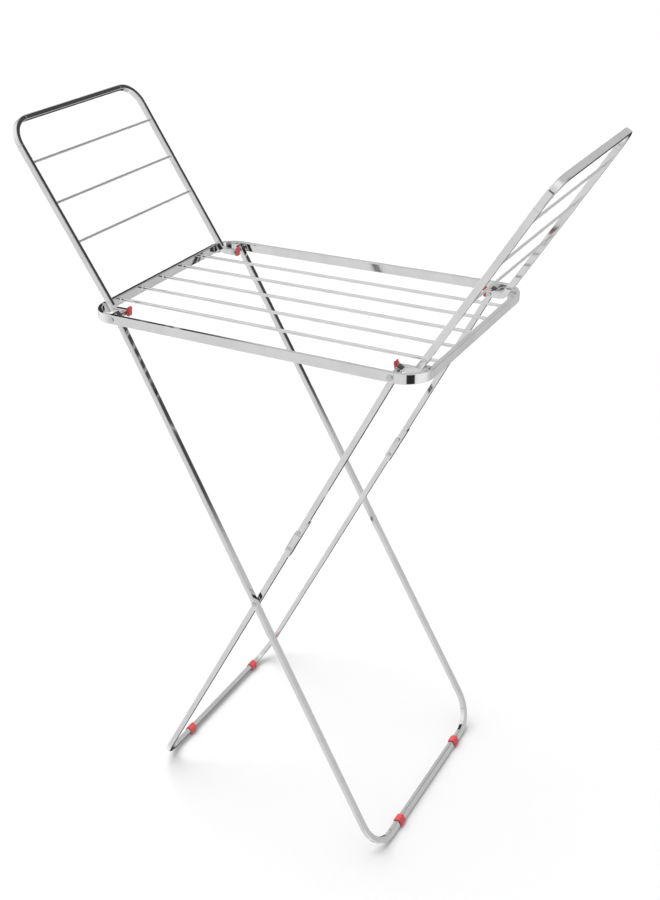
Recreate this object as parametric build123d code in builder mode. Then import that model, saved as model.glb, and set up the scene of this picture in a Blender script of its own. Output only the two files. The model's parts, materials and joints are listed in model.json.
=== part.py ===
from build123d import *
from math import atan, cos, degrees, radians, sin, tan
import os

# A free-standing winged clothes drying rack, in millimetres.
# +Z is up, X runs along the table, Y across it, and Z = 0 is the floor.
# "left" is -X, "right" is +X, "front" is -Y and "back" is +Y.

os.makedirs("parts", exist_ok=True)

# ---- driving dimensions ------------------------------------------------------
table_length = 682.0
table_width = 467.0
table_top = 1080.0
table_corner_radius = 50.0
table_tube_height = 18.0
table_tube_width = 9.0

leg_tube_depth = 10.5          # across the plane of the leg frame
leg_tube_width = 12.5          # in the plane of the leg frame
leg_bend_radius = 64.0         # of the tube's centre line
leg_pivot_x = 284.3            # both leg frames and both wings turn at +X and -X
leg_slope = 0.5245             # sideways run of a leg per unit of its drop
leg_splay = 0.0225             # how much each side tube spreads per unit of its length
foot_bar_z = 9.5               # centre of the foot bars above the floor
outer_leg_side = 220.4         # outer face of the outer leg's tubes at its pivot
leg_nesting = 14.2             # the inner leg's tubes lie this much further in

wing_tube_depth = 12.0         # across the plane of the wing
wing_tube_width = 9.6          # in the plane of the wing
wing_side = 193.1              # outer face of the wing's side tubes
wing_angle = 58.0              # lean of an open wing from the horizontal
wing_top_x = 521.2             # outermost point of the wing's top bar, on its mid plane
wing_top_z = 1405.1
wing_bend_radius = 45.0
wing_elbow_radius = 17.0
wing_tail_end = 5.0            # how far the tail runs past its pivot
wing_cap_rim = 1.5             # thickness of the red cap at the tube's mouth
wing_tab_reach = 7.5           # how far the cap's tab leans out from the mouth
wing_tab_height = 7.0
wing_tab_back = 3.5            # height of the tab's far corner
wing_tab_foot = 5.5
wing_tab_tip = 4.0             # place of the tab's point
wing_stop_drop = 6.0           # the stop's underside below the pivots
wing_stop_rise = 2.4           # the stop's top above the table
wing_stop_lap = 3.0            # how far the stop reaches over the table's tube
wing_stop_gap = 0.3            # between the stop and the open wing
wing_elbow_gap = 0.6
table_gap = 0.1

tube_wall = 1.0
tube_edge = 1.5                # rounding along the tube's corners
table_rod_count = 5
table_rod_pitch = 69.3
table_rod_radius = 3.0
wing_rod_radius = 2.4
wing_rod_drops = (86.5, 171.0, 252.7)   # below the wing's top, along the wing

pivot_radius = 2.5
pivot_clearance = 0.05
joint_gap = 0.4                # side play between neighbouring pieces on a pivot
seat_gap = 0.05                # between a piece and the tube that it sits in or on
rivet_head_radius = 6.0
rivet_head_height = 2.4
rivet_tail_radius = 4.5        # the small head at a pivot rivet's inner end
rivet_tail_height = 1.8
leg_rivet_head = 1.2
flush_head = 0.2
rivet_seat = 0.2               # a head's stand-off from a tube that slopes under it
spacer_radius = 5.5

knee_distance = 408.0          # from the inner leg's pivot to the knee rivet
knee_sheet = 1.6               # thickness of the knee bracket's metal
knee_lower_start = -34.0       # ends of the bracket's two flanges, from the knee rivet
knee_lower_end = 64.0
knee_upper_start = 4.0
knee_upper_end = 54.0
knee_tube_gap = 5.0            # the upper tube ends this far past the knee rivet
knee_seam = 1.0                # between the ends of the two tubes
knee_lock = 46.0               # from the knee rivet to the rivet in the lower tube
knee_rivet_radius = 2.0
crossing_rivet_radius = 2.2
leg_top_start = -7.0           # the leg tubes start this far above their pivots
plug_dome = 2.2
plug_edge = 1.2
foot_clip_length = 20.0
foot_clip_wall = 2.6
foot_clip_corner = 3.6
foot_clip_pad = 13.2           # width of the clip's flat underside
outer_clip_y = (-134.0, 143.0)
inner_clip_y = (-114.0, 153.0)

# ---- derived places ------------------------------------------------------------
half_length = table_length / 2
half_width = table_width / 2
pivot_z = table_top - table_tube_height / 2
table_inner_y = half_width - table_tube_width
table_inner_x = half_length - table_tube_width
leg_angle = degrees(atan(1 / leg_slope))
leg_length = (pivot_z - foot_bar_z) / sin(radians(leg_angle))
crossing_distance = leg_pivot_x / cos(radians(leg_angle))
inner_leg_side = outer_leg_side - leg_nesting
half_foot_width = outer_leg_side + leg_splay * leg_length
wing_inner_side = wing_side - wing_tube_width
wing_run = cos(radians(wing_angle))
wing_rise = sin(radians(wing_angle))
wing_elbow_x = wing_top_x - (wing_top_z - pivot_z) / tan(radians(wing_angle))

SIDES = {"left": -1, "right": 1}
FACES = {"front": -1, "back": 1}


def save(builder, name):
    """Label a finished piece and write it as its own STEP file."""
    builder.part.label = name
    export_step(builder.part, f"parts/{name}.step")


def rod_between(start, end, radius):
    """A round bar from one point to another, with slightly rounded ends."""
    length = (Vector(*end) - Vector(*start)).length
    direction = (Vector(*end) - Vector(*start)).normalized()
    with BuildPart() as rod:
        with BuildSketch(Plane(origin=start, z_dir=direction)):
            Circle(radius)
        extrude(amount=length)
        fillet(rod.edges(), radius=radius * 0.3)
    return rod


def leg_plane(side):
    """The plane of the leg that hangs from the pivot on one side.

    Its x runs down the leg from the pivot, and its y is the rack's Y.
    """
    slant = radians(leg_angle)
    return Plane(
        origin=(side * leg_pivot_x, 0, pivot_z),
        x_dir=(-side * cos(slant), 0, -sin(slant)),
        z_dir=(sin(slant), 0, -side * cos(slant)),
    )


def side_centre(side_face, distance):
    """Y of a leg tube's centre line at a distance down the leg."""
    return side_face - leg_tube_width / 2 + leg_splay * distance


def hollow_section(depth, width):
    """The wall of a rounded rectangular tube, drawn in the current sketch."""
    RectangleRounded(depth, width, tube_edge)
    RectangleRounded(
        depth - 2 * tube_wall, width - 2 * tube_wall, tube_edge - tube_wall, mode=Mode.SUBTRACT
    )


def pin_hole(x, z, half_span, radius):
    """Cut a hole along Y through the current part."""
    with Locations(Location((x, 0, z), (90, 0, 0))):
        Cylinder(radius, 2 * half_span, mode=Mode.SUBTRACT)


# ---- table -----------------------------------------------------------------------
with BuildPart() as table_envelope:
    with BuildSketch(Plane.XY.offset(table_top - table_tube_height)):
        RectangleRounded(table_length, table_width, table_corner_radius)
        RectangleRounded(
            table_length - 2 * table_tube_width,
            table_width - 2 * table_tube_width,
            table_corner_radius - table_tube_width,
            mode=Mode.SUBTRACT,
        )
    extrude(amount=table_tube_height)
    fillet(table_envelope.edges().filter_by(Plane.XY), radius=tube_edge)

with BuildPart() as table_frame:
    add(table_envelope.part)
    with BuildSketch(Plane.XY.offset(table_top - table_tube_height + tube_wall)):
        RectangleRounded(
            table_length - 2 * tube_wall, table_width - 2 * tube_wall, table_corner_radius - tube_wall
        )
        RectangleRounded(
            table_length - 2 * table_tube_width + 2 * tube_wall,
            table_width - 2 * table_tube_width + 2 * tube_wall,
            table_corner_radius - table_tube_width + tube_wall,
            mode=Mode.SUBTRACT,
        )
    extrude(amount=table_tube_height - 2 * tube_wall, mode=Mode.SUBTRACT)
    for side in SIDES.values():
        pin_hole(side * leg_pivot_x, pivot_z, half_width + 1, pivot_radius + seat_gap)
    with Locations((0, 0, pivot_z)):
        with GridLocations(1, table_rod_pitch, 1, table_rod_count):
            Cylinder(
                table_rod_radius + seat_gap,
                table_length - 4 * tube_wall,
                rotation=(0, 90, 0),
                mode=Mode.SUBTRACT,
            )
save(table_frame, "table_frame")

table_rod_reach = half_length - 3 * tube_wall
for index in range(table_rod_count):
    y = (index - (table_rod_count - 1) / 2) * table_rod_pitch
    table_rod = rod_between((-table_rod_reach, y, pivot_z), (table_rod_reach, y, pivot_z), table_rod_radius)
    save(table_rod, f"table_rod_{index + 1}")


# ---- pivots at the table's corners ---------------------------------------------------
def pivot_rivet(side, face):
    """A rivet through the table tube, a leg top and a wing tail, headed at both ends."""
    inner_end = wing_inner_side - joint_gap
    x = side * leg_pivot_x
    with BuildPart() as rivet:
        with BuildSketch(Plane(origin=(x, face * half_width, pivot_z), z_dir=(0, face, 0))):
            Circle(rivet_head_radius)
        extrude(amount=rivet_head_height)
        fillet(rivet.edges().sort_by(Axis.Y)[-1 if face > 0 else 0], radius=rivet_head_height * 0.8)
        with BuildSketch(Plane(origin=(x, face * inner_end, pivot_z), z_dir=(0, face, 0))):
            Circle(pivot_radius)
        extrude(amount=half_width - inner_end)
        with BuildSketch(Plane(origin=(x, face * inner_end, pivot_z), z_dir=(0, -face, 0))):
            Circle(rivet_tail_radius)
        extrude(amount=rivet_tail_height)
    return rivet


def pivot_spacer(side, face):
    """The rings that fill the empty places on one rivet beside its leg."""
    if side < 0:
        leg_inner = outer_leg_side - leg_tube_width
        spans = (
            (outer_leg_side + 2 * joint_gap, table_inner_y),
            (wing_side + joint_gap, leg_inner - 2 * joint_gap),
        )
    else:
        spans = ((inner_leg_side + 2 * joint_gap, table_inner_y),)
    with BuildPart() as spacer:
        for inner_y, outer_y in spans:
            origin = (side * leg_pivot_x, face * inner_y, pivot_z)
            with BuildSketch(Plane(origin=origin, z_dir=(0, face, 0))):
                Circle(spacer_radius)
                Circle(pivot_radius + seat_gap, mode=Mode.SUBTRACT)
            extrude(amount=outer_y - inner_y)
    return spacer


for side_name, side in SIDES.items():
    for face_name, face in FACES.items():
        save(pivot_rivet(side, face), f"pivot_rivet_{side_name}_{face_name}")
        save(pivot_spacer(side, face), f"pivot_spacer_{side_name}_{face_name}")


# ---- leg frames ---------------------------------------------------------------------
def leg_tube(plane, side_face, start):
    """A U-shaped tube: down one side, along the foot bar and up the other side."""
    top = side_centre(side_face, start)
    foot = side_centre(side_face, leg_length)
    with BuildPart() as tube:
        with BuildLine(plane) as path:
            FilletPolyline(
                (start, -top), (leg_length, -foot), (leg_length, foot), (start, top), radius=leg_bend_radius
            )
        with BuildSketch(Plane(origin=path.line @ 0, x_dir=plane.z_dir, z_dir=path.line % 0)):
            hollow_section(leg_tube_depth, leg_tube_width)
        sweep(path=path.line)
    return tube


def along_leg(side, distance):
    """X and Z of a point on a leg's centre line."""
    slant = radians(leg_angle)
    return side * (leg_pivot_x - distance * cos(slant)), pivot_z - distance * sin(slant)


crossing_x, crossing_z = along_leg(-1, crossing_distance)

with BuildPart() as outer_leg_frame:
    add(leg_tube(leg_plane(-1), outer_leg_side, leg_top_start).part)
    pin_hole(-leg_pivot_x, pivot_z, half_width, pivot_radius + pivot_clearance)
    pin_hole(crossing_x, crossing_z, half_foot_width, crossing_rivet_radius + seat_gap)
save(outer_leg_frame, "outer_leg_frame")

inner_tube_start = knee_distance + knee_tube_gap + knee_seam
knee_x, knee_z = along_leg(1, knee_distance)
knee_lock_distance = knee_distance + knee_lock
lock_x, lock_z = along_leg(1, knee_lock_distance)

with BuildPart() as inner_leg_frame:
    add(leg_tube(leg_plane(1), inner_leg_side, inner_tube_start).part)
    pin_hole(lock_x, lock_z, half_width, knee_rivet_radius + seat_gap)
save(inner_leg_frame, "inner_leg_frame")


def inner_leg_link(face):
    """The straight upper tube of the inner leg, from the table pivot to the knee."""
    plane = leg_plane(1)
    end = knee_distance + knee_tube_gap
    top = side_centre(inner_leg_side, leg_top_start)
    bottom = side_centre(inner_leg_side, end)
    with BuildPart() as link:
        with BuildLine(plane) as path:
            Line((leg_top_start, face * top), (end, face * bottom))
        with BuildSketch(Plane(origin=path.line @ 0, x_dir=plane.z_dir, z_dir=path.line % 0)):
            hollow_section(leg_tube_depth, leg_tube_width)
        sweep(path=path.line)
        pin_hole(leg_pivot_x, pivot_z, half_width, pivot_radius + pivot_clearance)
        pin_hole(knee_x, knee_z, half_width, knee_rivet_radius + seat_gap)
    return link


def leg_plug(side, side_face, face):
    """A plastic plug that closes the open top of a leg tube with a domed end."""
    plane = leg_plane(side)
    top = side_centre(side_face, leg_top_start)
    tube_axis = (plane.x_dir + plane.y_dir * face * leg_splay).normalized()
    mouth = plane.from_local_coords((leg_top_start, face * top, 0))
    with BuildPart() as plug:
        with BuildSketch(Plane(origin=mouth, x_dir=plane.z_dir, z_dir=-tube_axis)):
            RectangleRounded(leg_tube_depth, leg_tube_width, tube_edge)
        extrude(amount=plug_dome)
        fillet(plug.faces().sort_by(Axis(mouth, -tube_axis))[-1].edges(), radius=plug_edge)
        with BuildSketch(Plane(origin=mouth, x_dir=plane.z_dir, z_dir=tube_axis)):
            RectangleRounded(
                leg_tube_depth - 2 * tube_wall - 2 * seat_gap,
                leg_tube_width - 2 * tube_wall - 2 * seat_gap,
                tube_edge - tube_wall,
            )
        extrude(amount=-leg_top_start - pivot_radius - 1)
    return plug


def knee_bracket(face):
    """A channel of folded sheet round the inside of the knee, joining both tubes."""
    plane = leg_plane(1)
    centre = side_centre(inner_leg_side, knee_distance)
    tube_axis = (plane.x_dir + plane.y_dir * face * leg_splay).normalized()
    inward = (plane.x_dir * leg_splay - plane.y_dir * face).normalized()
    web = Plane(
        origin=plane.from_local_coords((knee_distance, face * centre, 0)), x_dir=tube_axis, z_dir=inward
    )
    lower = 1 if web.y_dir.Z < 0 else -1
    outer_depth = leg_tube_depth / 2 + seat_gap + knee_sheet
    with BuildPart() as bracket:
        with BuildSketch(web.offset(-leg_tube_width / 2)):
            with BuildLine():
                Polyline(
                    (knee_lower_start, lower * outer_depth),
                    (knee_lower_end, lower * outer_depth),
                    (knee_upper_end, -lower * outer_depth),
                    (knee_upper_start, -lower * outer_depth),
                    (knee_lower_start, lower * outer_depth),
                )
            make_face()
        extrude(amount=leg_tube_width + seat_gap + knee_sheet)
        fillet(bracket.faces().sort_by(Axis(web.origin, inward))[-1].edges(), radius=1.0)
        with BuildSketch(web.offset(-leg_tube_width)):
            Rectangle(4 * knee_lower_end, leg_tube_depth + 2 * seat_gap)
        extrude(amount=1.5 * leg_tube_width + seat_gap, mode=Mode.SUBTRACT)
        for x, z in ((knee_x, knee_z), (lock_x, lock_z)):
            pin_hole(x, z, half_width, knee_rivet_radius + seat_gap)
    return bracket


def leg_rivet(x, z, face, inner_y, outer_y, inner_head, outer_head, radius):
    """A rivet across one leg tube, with a head of its own thickness at each end."""
    with BuildPart() as rivet:
        with BuildSketch(Plane(origin=(x, face * inner_y, z), z_dir=(0, face, 0))):
            Circle(radius)
        extrude(amount=outer_y - inner_y)
        if inner_head:
            with BuildSketch(Plane(origin=(x, face * inner_y, z), z_dir=(0, -face, 0))):
                Circle(2 * radius)
            extrude(amount=inner_head)
        with BuildSketch(Plane(origin=(x, face * outer_y, z), z_dir=(0, face, 0))):
            Circle(2 * radius)
        extrude(amount=outer_head)
    return rivet


with BuildPart() as knee_rivets:
    for x, z, distance in ((knee_x, knee_z, knee_distance), (lock_x, lock_z, knee_lock_distance)):
        centre = side_centre(inner_leg_side, distance)
        inner_y = centre - leg_tube_width / 2 - knee_sheet - rivet_seat
        outer_y = centre + leg_tube_width / 2 + rivet_seat
        for face in FACES.values():
            rivet = leg_rivet(x, z, face, inner_y, outer_y, leg_rivet_head, flush_head, knee_rivet_radius)
            add(rivet.part)
save(knee_rivets, "knee_rivets")

with BuildPart() as crossing_rivets:
    centre = side_centre(outer_leg_side, crossing_distance)
    inner_y = centre - leg_tube_width / 2 + tube_wall
    outer_y = centre + leg_tube_width / 2 + rivet_seat
    for face in FACES.values():
        rivet = leg_rivet(
            crossing_x, crossing_z, face, inner_y, outer_y, 0, leg_rivet_head, crossing_rivet_radius
        )
        add(rivet.part)
save(crossing_rivets, "crossing_rivets")


def foot_clip(side, y):
    """A plastic clip round a foot bar, with a flat underside on the floor."""
    foot_x, foot_z = along_leg(side, leg_length)
    tilt = Rotation(0, 0, -side * (90 - leg_angle))
    outside = (leg_tube_depth + 2 * foot_clip_wall, leg_tube_width + 2 * foot_clip_wall)
    inside = (leg_tube_depth + 2 * seat_gap, leg_tube_width + 2 * seat_gap)
    end = Plane(origin=(foot_x, y + foot_clip_length / 2, foot_z), x_dir=(1, 0, 0), z_dir=(0, -1, 0))
    with BuildPart() as clip:
        with BuildSketch(end):
            with Locations(tilt):
                RectangleRounded(*outside, foot_clip_corner)
            with Locations((0, -foot_bar_z / 2)):
                Rectangle(foot_clip_pad, foot_bar_z)
            with Locations((0, -1.5 * foot_bar_z)):
                Rectangle(4 * foot_clip_pad, foot_bar_z, mode=Mode.SUBTRACT)
            with Locations(tilt):
                RectangleRounded(*inside, tube_edge, mode=Mode.SUBTRACT)
        extrude(amount=foot_clip_length)
    return clip


for face_name, face in FACES.items():
    save(inner_leg_link(face), f"inner_leg_link_{face_name}")
    save(knee_bracket(face), f"knee_bracket_{face_name}")
    save(leg_plug(-1, outer_leg_side, face), f"outer_leg_plug_{face_name}")
    save(leg_plug(1, inner_leg_side, face), f"inner_leg_plug_{face_name}")
for face_name, clip_y in zip(FACES, outer_clip_y):
    save(foot_clip(-1, clip_y), f"outer_foot_clip_{face_name}")
for face_name, clip_y in zip(FACES, inner_clip_y):
    save(foot_clip(1, clip_y), f"inner_foot_clip_{face_name}")


# ---- wings ----------------------------------------------------------------------------
def wing_point(side, drop, y):
    """A point on a wing's mid plane, a distance below its top."""
    return side * (wing_top_x - drop * wing_run), y, wing_top_z - drop * wing_rise


wing_tube_centre = wing_side - wing_tube_width / 2


def wing_frame(side):
    """One bent tube: tail, elbow, side, top bar, side, elbow and tail."""
    tail_x = side * (leg_pivot_x - wing_tail_end)
    elbow_x = side * wing_elbow_x
    half = wing_tube_centre
    top_front = wing_point(side, wing_tube_width / 2, -half)
    top_back = wing_point(side, wing_tube_width / 2, half)
    with BuildPart() as frame:
        with BuildLine() as path:
            FilletPolyline(
                (tail_x, -half, pivot_z),
                (elbow_x, -half, pivot_z),
                top_front,
                top_back,
                (elbow_x, half, pivot_z),
                (tail_x, half, pivot_z),
                radius=(wing_elbow_radius, wing_bend_radius, wing_bend_radius, wing_elbow_radius),
            )
        with BuildSketch(Plane(origin=path.line @ 0, x_dir=(0, 0, 1), z_dir=path.line % 0)):
            hollow_section(wing_tube_depth, wing_tube_width)
        sweep(path=path.line)
        pin_hole(side * leg_pivot_x, pivot_z, half_width, pivot_radius + pivot_clearance)
        for drop in wing_rod_drops:
            x, _, z = wing_point(side, drop, 0)
            pin_hole(x, z, wing_side - 2 * tube_wall, wing_rod_radius + seat_gap)
    return frame


def wing_cap(side, face):
    """The red cap that plugs a wing tail, with a pointed thumb tab standing up."""
    tail_x = side * (leg_pivot_x - wing_tail_end)
    y_low = wing_inner_side if face > 0 else -wing_side
    plug_width = wing_tube_width - 2 * tube_wall - 2 * seat_gap
    plug_depth = wing_tube_depth - 2 * tube_wall - 2 * seat_gap
    half_depth = wing_tube_depth / 2
    mouth = Plane(origin=(tail_x, y_low + wing_tube_width, pivot_z), x_dir=(-side, 0, 0), z_dir=(0, side, 0))
    with BuildPart() as cap:
        with BuildSketch(mouth if side > 0 else mouth.offset(wing_tube_width)):
            with BuildLine():
                Polyline(
                    (0, -half_depth),
                    (0, half_depth),
                    (wing_cap_rim, half_depth),
                    (wing_tab_tip, half_depth + wing_tab_height),
                    (wing_tab_reach, half_depth + wing_tab_back),
                    (wing_tab_foot, -half_depth),
                    (0, -half_depth),
                )
            make_face()
        extrude(amount=-wing_tube_width)
        fillet(cap.edges().filter_by(Axis.Y), radius=0.8)
        plug_centre = (tail_x, face * wing_tube_centre, pivot_z)
        with BuildSketch(Plane(origin=plug_centre, x_dir=(0, 1, 0), z_dir=(side, 0, 0))):
            RectangleRounded(plug_width, plug_depth, tube_edge - tube_wall)
        extrude(amount=wing_tail_end - pivot_radius - 1)
    return cap


def wing_stop(side, face):
    """A steel block on the table's end bar that the open wing leans on."""
    bottom = pivot_z - wing_stop_drop
    top = table_top + wing_stop_rise
    lap_z = table_top + table_gap
    lap_x = side * (table_inner_x + wing_stop_lap)
    wing_face_x = wing_elbow_x + wing_tube_depth / 2 / wing_rise + wing_stop_gap
    slope_top_x = side * (wing_face_x + (top - pivot_z) / tan(radians(wing_angle)))
    slope_foot_x = side * (wing_face_x + wing_elbow_gap)
    back_y = face * wing_tube_centre + wing_tube_width / 2
    with BuildPart() as stop:
        with BuildSketch(Plane(origin=(0, back_y, 0), x_dir=(1, 0, 0), z_dir=(0, -1, 0))):
            with BuildLine():
                Polyline(
                    (side * table_inner_x, bottom),
                    (side * table_inner_x, lap_z),
                    (lap_x, lap_z),
                    (lap_x, top),
                    (slope_top_x, top),
                    (slope_foot_x, pivot_z + wing_elbow_gap),
                    (slope_foot_x, bottom),
                    (side * table_inner_x, bottom),
                )
            make_face()
        extrude(amount=wing_tube_width)
        add(table_envelope.part, mode=Mode.SUBTRACT)
        fillet(stop.edges().filter_by(Axis.Y).sort_by(Axis.Z)[-2:], radius=1.0)
    return stop


for side_name, side in SIDES.items():
    save(wing_frame(side), f"{side_name}_wing_frame")
    for index, drop in enumerate(wing_rod_drops):
        reach = wing_side - 3 * tube_wall
        wing_rod = rod_between(
            wing_point(side, drop, -reach), wing_point(side, drop, reach), wing_rod_radius
        )
        save(wing_rod, f"{side_name}_wing_rod_{index + 1}")
    for face_name, face in FACES.items():
        save(wing_cap(side, face), f"{side_name}_wing_cap_{face_name}")
        save(wing_stop(side, face), f"{side_name}_wing_stop_{face_name}")

print("leg angle", round(leg_angle, 2), "leg length", round(leg_length, 1))
print("crossing", round(crossing_x, 1), round(crossing_z, 1))
print("wing elbow x", round(wing_elbow_x, 1))
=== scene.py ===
import json
import math

import bmesh
import bpy
from mathutils import Matrix, Vector


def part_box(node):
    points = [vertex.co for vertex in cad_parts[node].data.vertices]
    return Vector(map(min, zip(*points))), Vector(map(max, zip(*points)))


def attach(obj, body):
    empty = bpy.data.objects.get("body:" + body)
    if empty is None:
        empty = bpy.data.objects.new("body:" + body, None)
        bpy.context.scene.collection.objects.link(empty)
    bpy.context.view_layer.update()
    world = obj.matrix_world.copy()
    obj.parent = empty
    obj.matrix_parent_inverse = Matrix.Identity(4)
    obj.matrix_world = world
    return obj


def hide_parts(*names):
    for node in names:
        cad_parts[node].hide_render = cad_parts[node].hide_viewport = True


# A free-standing winged clothes drying rack of chromed steel with red plastic clips.
# Metres, +Z up. "left" is -X, "right" is +X, "front" is -Y and "back" is +Y.

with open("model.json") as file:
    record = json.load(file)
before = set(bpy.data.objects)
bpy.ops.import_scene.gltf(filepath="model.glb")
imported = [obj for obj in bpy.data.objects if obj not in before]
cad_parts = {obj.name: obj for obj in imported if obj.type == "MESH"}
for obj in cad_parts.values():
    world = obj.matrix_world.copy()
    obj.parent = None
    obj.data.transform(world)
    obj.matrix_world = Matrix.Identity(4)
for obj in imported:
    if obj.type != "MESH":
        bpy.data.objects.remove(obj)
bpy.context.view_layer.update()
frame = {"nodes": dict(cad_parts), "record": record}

# ---- camera ----------------------------------------------------------------------
CAMERA_PLACE = Vector((1.0586, -1.8265, 1.8872))
CAMERA_YAW = math.radians(33.765)      # turned left from looking along +Y
CAMERA_PITCH = math.radians(28.039)    # tipped down from the horizontal
CAMERA_ROLL = math.radians(-2.991)
CAMERA_LENS = 47.916                   # focal length in millimetres
CAMERA_SHIFT = (0.0965, 0.0004)        # in widths of the sensor
SENSOR_WIDTH = 36.0                    # millimetres

# ---- studio ----------------------------------------------------------------------
FLOOR_SIZE = 400.0
FLOOR_COLOUR = (0.61, 0.61, 0.61, 1.0)
FLOOR_ROUGHNESS = 0.9
BACK_WALL_LEVEL = 0.62                 # brightness of the studio by direction
SIDE_WALL_LEVEL = 1.02
FRONT_WALL_LEVEL = 0.80
BACK_TO_SIDE = (50.0, 85.0)            # where one wall blends into the next, in degrees
SIDE_TO_FRONT = (105.0, 140.0)         # turned either way from +Y
BACKDROP_RADIUS = 60.0                 # a white wall that only the camera sees
BACKDROP_HEIGHT = 160.0
BACKDROP_STEPS = 64
OVERHEAD_LIGHT = 3.4                   # strength of the even light from above
OVERHEAD_SPREAD = math.radians(60.0)   # apparent size of the light, for soft shadows
OVERHEAD_TOWARD = Vector((0.45, -0.10, -1.0))
# Black flags hung round the studio give polished metal its dark bands. Each has an azimuth
# clockwise from +Y, a half width, an elevation and a half height, in degrees, and a level.
STUDIO_FLAGS = (
    (-53.0, 19.0, 24.0, 10.0, 0.04),
    (37.0, 10.0, 22.0, 16.0, 0.07),
    (-19.0, 18.0, -36.0, 20.0, 0.06),
    (139.0, 16.0, 8.0, 40.0, 0.03),
)
FLAG_EDGE = 2.0                        # softness of a flag's edges, in degrees


def make_camera():
    """The camera at the photograph's viewing angle, turned by yaw, pitch and roll."""
    forward = Vector((
        -math.sin(CAMERA_YAW) * math.cos(CAMERA_PITCH),
        math.cos(CAMERA_YAW) * math.cos(CAMERA_PITCH),
        -math.sin(CAMERA_PITCH),
    ))
    level_right = Vector((math.cos(CAMERA_YAW), math.sin(CAMERA_YAW), 0.0))
    level_up = level_right.cross(forward)
    right = math.cos(CAMERA_ROLL) * level_right + math.sin(CAMERA_ROLL) * level_up
    up = math.cos(CAMERA_ROLL) * level_up - math.sin(CAMERA_ROLL) * level_right
    turn = Matrix((right, up, -forward)).transposed().to_4x4()
    lens = bpy.data.cameras.new("camera")
    lens.lens = CAMERA_LENS
    lens.sensor_width = SENSOR_WIDTH
    lens.shift_x, lens.shift_y = CAMERA_SHIFT
    lens.clip_end = FLOOR_SIZE
    camera = bpy.data.objects.new("camera", lens)
    camera.matrix_world = Matrix.Translation(CAMERA_PLACE) @ turn
    bpy.context.scene.collection.objects.link(camera)
    bpy.context.scene.camera = camera


class Nodes:
    """A short way to write a node tree."""

    def __init__(self, tree):
        self.tree = tree

    def add(self, kind, **settings):
        node = self.tree.nodes.new(kind)
        for name, value in settings.items():
            setattr(node, name, value)
        return node

    def link(self, source, target):
        self.tree.links.new(source, target)

    def feed(self, target, value):
        if isinstance(value, bpy.types.NodeSocket):
            self.link(value, target)
        else:
            target.default_value = value

    def math(self, operation, a, b=0.0, c=0.0):
        node = self.add("ShaderNodeMath", operation=operation)
        for socket, value in zip(node.inputs, (a, b, c)):
            self.feed(socket, value)
        return node.outputs[0]

    def spread(self, value, low, high, out_low=0.0, out_high=1.0):
        """Maps a value smoothly from one range to another, clamped."""
        node = self.add("ShaderNodeMapRange", interpolation_type="SMOOTHSTEP")
        for name, number in (("Value", value), ("From Min", low), ("From Max", high),
                             ("To Min", out_low), ("To Max", out_high)):
            self.feed(node.inputs[name], number)
        return node.outputs["Result"]

    def mix(self, factor, a, b):
        node = self.add("ShaderNodeMix", data_type="RGBA")
        self.feed(node.inputs["Factor"], factor)
        self.feed(node.inputs["A"], a)
        self.feed(node.inputs["B"], b)
        return node.outputs["Result"]

    def noise(self, where, scale, detail=3.0, roughness=0.5):
        node = self.add("ShaderNodeTexNoise")
        self.link(where, node.inputs["Vector"])
        node.inputs["Scale"].default_value = scale
        node.inputs["Detail"].default_value = detail
        node.inputs["Roughness"].default_value = roughness
        return node.outputs["Fac"]


def make_studio():
    """A pale studio all round, with a few black flags for the metal to reflect."""
    world = bpy.data.worlds.new("studio")
    bpy.context.scene.world = world
    world.use_nodes = True
    nodes = Nodes(world.node_tree)
    direction = nodes.add("ShaderNodeTexCoord").outputs["Generated"]
    axes = nodes.add("ShaderNodeSeparateXYZ")
    nodes.link(direction, axes.inputs[0])
    to_degrees = 180.0 / math.pi
    bearing = nodes.math("ARCTAN2", axes.outputs["X"], axes.outputs["Y"])
    azimuth = nodes.math("MULTIPLY", bearing, to_degrees)
    elevation = nodes.math("MULTIPLY", nodes.math("ARCSINE", axes.outputs["Z"]), to_degrees)
    turn = nodes.math("ABSOLUTE", azimuth)
    to_side = nodes.spread(turn, *BACK_TO_SIDE)
    to_front = nodes.spread(turn, *SIDE_TO_FRONT)
    level = nodes.math("MULTIPLY_ADD", to_side, SIDE_WALL_LEVEL - BACK_WALL_LEVEL, BACK_WALL_LEVEL)
    level = nodes.math("MULTIPLY_ADD", to_front, FRONT_WALL_LEVEL - SIDE_WALL_LEVEL, level)
    for place, half_width, height, half_height, flag_level in STUDIO_FLAGS:
        across = nodes.math("ABSOLUTE", nodes.math("SUBTRACT", azimuth, place))
        along = nodes.math("ABSOLUTE", nodes.math("SUBTRACT", elevation, height))
        in_width = nodes.spread(across, half_width - FLAG_EDGE, half_width + FLAG_EDGE, 1.0, 0.0)
        in_height = nodes.spread(along, half_height - FLAG_EDGE, half_height + FLAG_EDGE, 1.0, 0.0)
        inside = nodes.math("MULTIPLY", in_width, in_height)
        darker = nodes.math("SUBTRACT", flag_level, level)
        level = nodes.math("MULTIPLY_ADD", inside, darker, level)
    background = world.node_tree.nodes["Background"]
    background.inputs["Color"].default_value = (1.0, 1.0, 1.0, 1.0)
    nodes.link(level, background.inputs["Strength"])


def make_overhead_light():
    """A broad even light from above, a little to the left and behind the rack."""
    light = bpy.data.lights.new("overhead", "SUN")
    light.energy = OVERHEAD_LIGHT
    light.angle = OVERHEAD_SPREAD
    overhead = bpy.data.objects.new("overhead", light)
    overhead.matrix_world = OVERHEAD_TOWARD.to_track_quat("-Z", "Y").to_matrix().to_4x4()
    overhead.visible_glossy = False
    bpy.context.scene.collection.objects.link(overhead)


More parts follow.
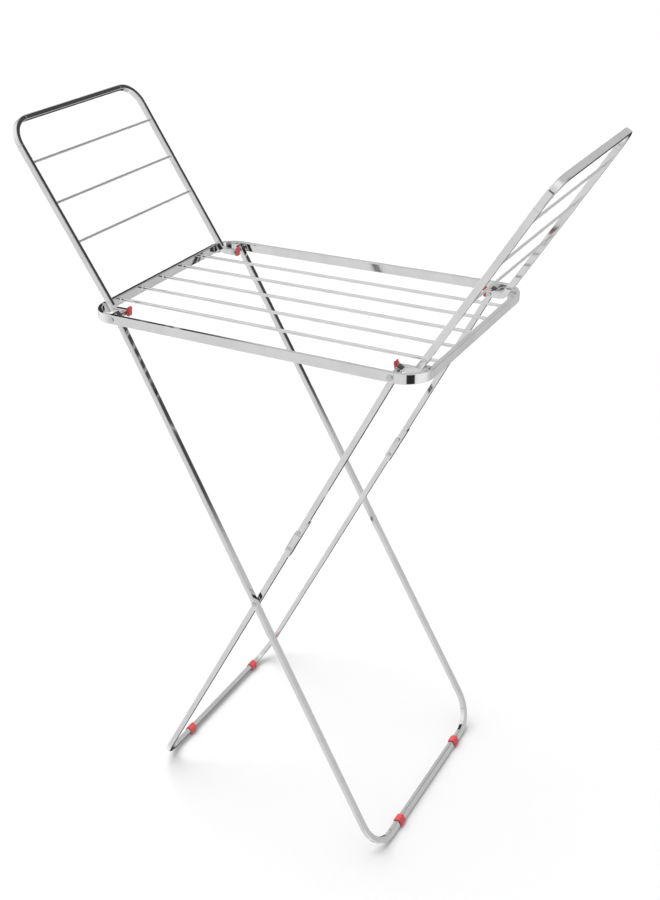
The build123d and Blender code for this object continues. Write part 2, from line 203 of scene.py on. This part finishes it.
def make_floor():
    """A large plain pale floor."""
    mesh = bpy.data.meshes.new("floor")
    half = FLOOR_SIZE / 2
    corners = [(-half, -half, 0), (half, -half, 0), (half, half, 0), (-half, half, 0)]
    mesh.from_pydata(corners, [], [(0, 1, 2, 3)])
    floor = bpy.data.objects.new("floor", mesh)
    bpy.context.scene.collection.objects.link(floor)
    material = bpy.data.materials.new("floor")
    material.use_nodes = True
    shader = material.node_tree.nodes["Principled BSDF"]
    shader.inputs["Base Color"].default_value = FLOOR_COLOUR
    shader.inputs["Roughness"].default_value = FLOOR_ROUGHNESS
    shader.inputs["Specular IOR Level"].default_value = 0.0
    mesh.materials.append(material)
    floor.visible_glossy = False


def make_backdrop():
    """A round white wall far behind the rack, seen by the camera and by nothing else."""
    shape = bmesh.new()
    bmesh.ops.create_cone(
        shape, segments=BACKDROP_STEPS, radius1=BACKDROP_RADIUS, radius2=BACKDROP_RADIUS,
        depth=BACKDROP_HEIGHT,
    )
    mesh = bpy.data.meshes.new("backdrop")
    shape.to_mesh(mesh)
    shape.free()
    material = bpy.data.materials.new("backdrop")
    material.use_nodes = True
    shader = material.node_tree.nodes["Principled BSDF"]
    shader.inputs["Base Color"].default_value = (0.0, 0.0, 0.0, 1.0)
    shader.inputs["Specular IOR Level"].default_value = 0.0
    shader.inputs["Emission Color"].default_value = (1.0, 1.0, 1.0, 1.0)
    shader.inputs["Emission Strength"].default_value = 1.0
    mesh.materials.append(material)
    backdrop = bpy.data.objects.new("backdrop", mesh)
    bpy.context.scene.collection.objects.link(backdrop)
    backdrop.visible_diffuse = False
    backdrop.visible_glossy = False
    backdrop.visible_transmission = False
    backdrop.visible_shadow = False


# ---- materials ---------------------------------------------------------------------
# Noise scales are per metre, and bump depths are in metres.
CHROME_POLISH = (0.03, 0.075)          # roughness where clear and where hazed
CHROME_DULLING = 0.93                  # how much darker hazed plating is
SCRATCH_SCALE = 240.0
SCRATCH_WANDER = 14.0
SCRATCH_WIDTH = 0.06
SCRATCH_ROUGHNESS = 0.05
SCRATCH_DEPTH = 0.3                    # beside the ripple's height of 1
RIPPLE_SCALE = 900.0
CHROME_RELIEF = 0.000004
CLOUD_SCALE = 90.0
PLASTIC_GLOSS_SPREAD = (-0.06, 0.08)   # roughness to either side of the plastic's own


def new_material(name):
    """A material with its node helper, its shader and the object's own coordinates."""
    material = bpy.data.materials.new(name)
    material.use_nodes = True
    nodes = Nodes(material.node_tree)
    shader = material.node_tree.nodes["Principled BSDF"]
    where = nodes.add("ShaderNodeTexCoord").outputs["Object"]
    return material, nodes, shader, where


def add_bump(nodes, shader, height, distance):
    """Gives a surface fine relief, in metres."""
    bump = nodes.add("ShaderNodeBump")
    bump.inputs["Strength"].default_value = 1.0
    bump.inputs["Distance"].default_value = distance
    nodes.link(height, bump.inputs["Height"])
    nodes.link(bump.outputs["Normal"], shader.inputs["Normal"])


def scratches(nodes, where):
    """Fine wandering lines, 1 on a line and 0 between them."""
    wave = nodes.add("ShaderNodeTexWave", wave_type="BANDS", bands_direction="DIAGONAL")
    nodes.link(where, wave.inputs["Vector"])
    wave.inputs["Scale"].default_value = SCRATCH_SCALE
    wave.inputs["Distortion"].default_value = SCRATCH_WANDER
    wave.inputs["Detail"].default_value = 4.0
    return nodes.spread(wave.outputs["Fac"], 0.0, SCRATCH_WIDTH, 1.0, 0.0)


def chrome(name, tint, haze_scale):
    """Bright chrome plating with faint haze, a slight ripple and fine scratches."""
    material, nodes, shader, where = new_material(name)
    haze = nodes.noise(where, haze_scale, 4.0, 0.55)
    ripple = nodes.noise(where, RIPPLE_SCALE, 2.0)
    scratch = scratches(nodes, where)
    bright = (*tint, 1.0)
    dull = (*(CHROME_DULLING * channel for channel in tint), 1.0)
    nodes.link(nodes.mix(nodes.spread(haze, 0.35, 0.7), bright, dull), shader.inputs["Base Color"])
    polish = nodes.spread(haze, 0.3, 0.75, *CHROME_POLISH)
    rough = nodes.math("MULTIPLY_ADD", scratch, SCRATCH_ROUGHNESS, polish)
    nodes.link(rough, shader.inputs["Roughness"])
    shader.inputs["Metallic"].default_value = 1.0
    relief = nodes.math("MULTIPLY_ADD", scratch, -SCRATCH_DEPTH, ripple)
    add_bump(nodes, shader, relief, CHROME_RELIEF)
    return material


def plastic(name, colour, worn_colour, grain_scale, grain_depth, roughness):
    """Moulded plastic: a faint grain, uneven gloss and slightly worn colour."""
    material, nodes, shader, where = new_material(name)
    cloud = nodes.noise(where, CLOUD_SCALE, 4.0, 0.6)
    grain = nodes.noise(where, grain_scale, 2.0, 0.6)
    shade = nodes.mix(nodes.spread(cloud, 0.3, 0.7), (*colour, 1.0), (*worn_colour, 1.0))
    nodes.link(shade, shader.inputs["Base Color"])
    smoothest, roughest = (roughness + step for step in PLASTIC_GLOSS_SPREAD)
    nodes.link(nodes.spread(grain, 0.3, 0.7, smoothest, roughest), shader.inputs["Roughness"])
    shader.inputs["Specular IOR Level"].default_value = 0.5
    add_bump(nodes, shader, grain, grain_depth)
    return material


SLOT_MATERIALS = {
    "chrome_tube": chrome("tube_chrome", (0.80, 0.805, 0.80), 14.0),
    "chrome_rod": chrome("rod_chrome", (0.82, 0.82, 0.82), 22.0),
    "rivet_steel": chrome("rivet_steel", (0.66, 0.66, 0.66), 60.0),
    "dark_plastic": plastic(
        "dark_plastic", (0.035, 0.036, 0.038), (0.022, 0.023, 0.025), 1400.0, 0.00004, 0.42
    ),
    "red_plastic": plastic(
        "red_plastic", (0.56, 0.068, 0.078), (0.50, 0.056, 0.065), 1100.0, 0.00002, 0.24
    ),
}


def finish_cad_nodes():
    """Gives every CAD node the detailed material of its slot."""
    for part in frame["record"]["subparts"]:
        node = frame["nodes"][part["node"]]
        for holder in node.material_slots:
            holder.material = SLOT_MATERIALS[part["material_slot"]]


# ---- detail pieces -------------------------------------------------------------------
BODY_OF = {
    node: body for body, nodes in frame["record"]["behaviour"]["bodies"].items() for node in nodes
}
SLOT_OF = {part["node"]: part["material_slot"] for part in frame["record"]["subparts"]}
TABLE_TUBE_WIDTH = 0.009               # the frame's own sizes, which its boxes don't give
TABLE_CORNER_RADIUS = 0.050
TUBE_EDGE = 0.0015                     # rounding along the tubes' corners
WING_TUBE_WIDTH = 0.0096
WING_TUBE_DEPTH = 0.012
WING_BEND_RADIUS = 0.045
WING_ANGLE = math.radians(58.0)
WELD_REACH = 0.0022                    # how far a weld runs along its rod
WELD_RISE = 0.0013                     # how far it spreads over the tube
WELD_BURIED = 0.3                      # part of that rise that is sunk into the tube
WELD_BORE = 0.9                        # radius of its hidden inside, beside the rod's
WELD_STEPS = 5
SEAM_WIDTH = 0.0009
SEAM_PROUD = 0.00018
SEAM_OUTLINE = (                       # places across a seam and heights, as parts of those
    (-0.5, -0.3), (-0.5, 0.2), (-0.25, 1.0), (0.25, 1.0), (0.5, 0.2), (0.5, -0.3)
)
ROUND_STEPS = 24
CORNER_STEPS = 4
SMOOTH_ANGLE = math.radians(40.0)      # gentler edges than this are shaded smooth
SHARP_ANGLE = math.radians(35.0)       # sharper edges than this are rounded
FLAT_ANGLE = math.radians(1.5)
MERGE_DISTANCE = 0.000005
EDGE_SEGMENTS = 3
SOFT_EDGES = {                         # pieces with rounded edges, and the rounding
    "foot_clip": 0.0011,
    "wing_cap": 0.0006,
    "wing_stop": 0.0008,
    "knee_bracket": 0.0003,
}


def add_piece(name, mesh, body, slot):
    """Puts a finished mesh in the scene as a visible piece of one body."""
    for face in mesh.polygons:
        face.use_smooth = True
    mesh.set_sharp_from_angle(angle=SMOOTH_ANGLE)
    mesh.materials.clear()
    mesh.materials.append(SLOT_MATERIALS[slot])
    piece = bpy.data.objects.new(name, mesh)
    bpy.context.scene.collection.objects.link(piece)
    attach(piece, body)
    return piece


def mesh_from(shape, name):
    """Turns a finished shape into a mesh with its faces turned outwards."""
    mesh = bpy.data.meshes.new(name)
    bmesh.ops.recalc_face_normals(shape, faces=shape.faces)
    shape.to_mesh(mesh)
    shape.free()
    return mesh


def soften_edges(node, width):
    """Stands a copy of a node with rounded edges in the node's place."""
    shape = bmesh.new()
    shape.from_mesh(frame["nodes"][node].data)
    bmesh.ops.remove_doubles(shape, verts=shape.verts, dist=MERGE_DISTANCE)
    bmesh.ops.dissolve_limit(shape, angle_limit=FLAT_ANGLE, verts=shape.verts, edges=shape.edges)
    sharp = [edge for edge in shape.edges if edge.is_manifold and edge.calc_face_angle(0.0) > SHARP_ANGLE]
    bmesh.ops.bevel(
        shape, geom=sharp, offset=width, offset_type="OFFSET", segments=EDGE_SEGMENTS, profile=0.5,
        affect="EDGES", clamp_overlap=True,
    )
    piece = add_piece(node + "_rounded", mesh_from(shape, node), BODY_OF[node], SLOT_OF[node])
    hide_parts(node)


def soften_nodes():
    """Rounds the edges of the clips, caps, stops and brackets."""
    for node in sorted(BODY_OF):
        for kind, width in SOFT_EDGES.items():
            if kind in node:
                soften_edges(node, width)


def ring_of_points(shape, centre, across, up, radius):
    """Points round a circle."""
    ring = []
    for step in range(ROUND_STEPS):
        turn = 2 * math.pi * step / ROUND_STEPS
        ring.append(shape.verts.new(centre + radius * (math.cos(turn) * across + math.sin(turn) * up)))
    return ring


def join_rings(shape, first, second):
    """A band of faces between two rings with the same number of points."""
    count = len(first)
    for index in range(count):
        after = (index + 1) % count
        shape.faces.new((first[index], first[after], second[after], second[index]))


def add_weld(shape, wall, outward, radius):
    """A hollow-curved collar of weld where a rod enters the wall of a tube."""
    across = outward.orthogonal().normalized()
    up = outward.cross(across)
    rings = []
    for step in range(WELD_STEPS + 1):
        turn = 0.5 * math.pi * step / WELD_STEPS
        along = WELD_REACH * (1.0 - math.cos(turn))
        spread = WELD_RISE * (1.0 - math.sin(turn))
        rings.append(ring_of_points(shape, wall + along * outward, across, up, radius + spread))
    sunk = wall - WELD_BURIED * WELD_RISE * outward
    buried = ring_of_points(shape, sunk, across, up, radius + WELD_RISE)
    inside = ring_of_points(shape, wall + WELD_REACH * outward, across, up, WELD_BORE * radius)
    core = ring_of_points(shape, sunk, across, up, WELD_BORE * radius)
    rings = [core, buried, *rings, inside, core]
    for first, second in zip(rings, rings[1:]):
        join_rings(shape, first, second)


def rod_welds(name, body, rods, axis, low_wall, high_wall):
    """Weld collars where the rods of one group, along X (0) or Y (1), meet two tube walls."""
    shape = bmesh.new()
    for node in sorted(BODY_OF):
        if node.startswith(rods):
            rod_low, rod_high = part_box(node)
            radius = (rod_high.z - rod_low.z) / 2
            for wall, way in ((low_wall, 1), (high_wall, -1)):
                place = (rod_low + rod_high) / 2
                place[axis] = wall
                outward = Vector((0, 0, 0))
                outward[axis] = way
                add_weld(shape, place, outward, radius)
    add_piece(name, mesh_from(shape, name), body, "chrome_rod")


def table_welds():
    low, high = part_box("table_frame")
    walls = (low.x + TABLE_TUBE_WIDTH, high.x - TABLE_TUBE_WIDTH)
    rod_welds("table_welds", "frame", "table_rod", 0, *walls)


def wing_welds(side):
    low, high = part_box(side + "_wing_frame")
    walls = (low.y + WING_TUBE_WIDTH, high.y - WING_TUBE_WIDTH)
    rod_welds(side + "_wing_welds", side + "_wing", side + "_wing_rod", 1, *walls)


def section_ring(shape, centre, across, up, half_across, half_up, edge):
    """Points round a rounded rectangle."""
    ring = []
    for corner in range(4):
        start = 0.5 * math.pi * corner
        side_across = 1 if corner in (0, 3) else -1
        side_up = 1 if corner in (0, 1) else -1
        middle = centre + side_across * (half_across - edge) * across + side_up * (half_up - edge) * up
        for step in range(CORNER_STEPS + 1):
            turn = start + 0.5 * math.pi * step / CORNER_STEPS
            ring.append(shape.verts.new(middle + edge * (math.cos(turn) * across + math.sin(turn) * up)))
    return ring


def add_seam(shape, centre, along, across, half_across, half_up):
    """A fine raised line round a tube, where a straight run meets a bend."""
    up = along.cross(across)
    rings = [
        section_ring(
            shape, centre + place * SEAM_WIDTH * along, across, up,
            half_across + height * SEAM_PROUD, half_up + height * SEAM_PROUD, TUBE_EDGE,
        )
        for place, height in SEAM_OUTLINE
    ]
    for first, second in zip(rings, rings[1:] + rings[:1]):
        join_rings(shape, first, second)


def table_seams():
    """Fine lines round the table's tube at both ends of each corner's bend."""
    low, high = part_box("table_frame")
    middle_z = (low.z + high.z) / 2
    half_height = (high.z - low.z) / 2
    half_width = TABLE_TUBE_WIDTH / 2
    shape = bmesh.new()
    for x in (low.x + TABLE_CORNER_RADIUS, high.x - TABLE_CORNER_RADIUS):
        for y in (low.y + half_width, high.y - half_width):
            add_seam(
                shape, Vector((x, y, middle_z)), Vector((1, 0, 0)), Vector((0, 1, 0)),
                half_width, half_height,
            )
    for x in (low.x + half_width, high.x - half_width):
        for y in (low.y + TABLE_CORNER_RADIUS, high.y - TABLE_CORNER_RADIUS):
            add_seam(
                shape, Vector((x, y, middle_z)), Vector((0, 1, 0)), Vector((1, 0, 0)),
                half_width, half_height,
            )
    add_piece("table_seams", mesh_from(shape, "table_seams"), "frame", "rivet_steel")


def wing_seams(side):
    """Fine lines round a wing's tube at both ends of its two upper bends."""
    low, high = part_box(side + "_wing_frame")
    sign = -1.0 if side == "left" else 1.0
    down = Vector((-sign * math.cos(WING_ANGLE), 0.0, -math.sin(WING_ANGLE)))
    half_width = WING_TUBE_WIDTH / 2
    half_depth = WING_TUBE_DEPTH / 2
    thickness = down.cross(Vector((0, 1, 0))).normalized()
    outer = high.x if sign > 0 else -low.x
    top = Vector((sign * (outer - half_depth * math.sin(WING_ANGLE)), 0.0,
                  high.z - half_depth * math.cos(WING_ANGLE)))
    bend_end = half_width + WING_BEND_RADIUS
    shape = bmesh.new()
    for y, inward in ((low.y + half_width, 1.0), (high.y - half_width, -1.0)):
        side_place = top + bend_end * down + Vector((0, y, 0))
        add_seam(shape, side_place, down, Vector((0, 1, 0)), half_width, half_depth)
        bar_place = top + half_width * down + Vector((0, y + inward * WING_BEND_RADIUS, 0))
        add_seam(shape, bar_place, Vector((0, 1, 0)), thickness, half_depth, half_width)
    name = side + "_wing_seams"
    add_piece(name, mesh_from(shape, name), side + "_wing", "rivet_steel")


# ---- the scene -----------------------------------------------------------------------
make_camera()
make_studio()
make_overhead_light()
make_floor()
make_backdrop()
finish_cad_nodes()
soften_nodes()
table_welds()
table_seams()
for wing in ("left", "right"):
    wing_welds(wing)
    wing_seams(wing)
bpy.context.scene.view_settings.view_transform = "Standard"
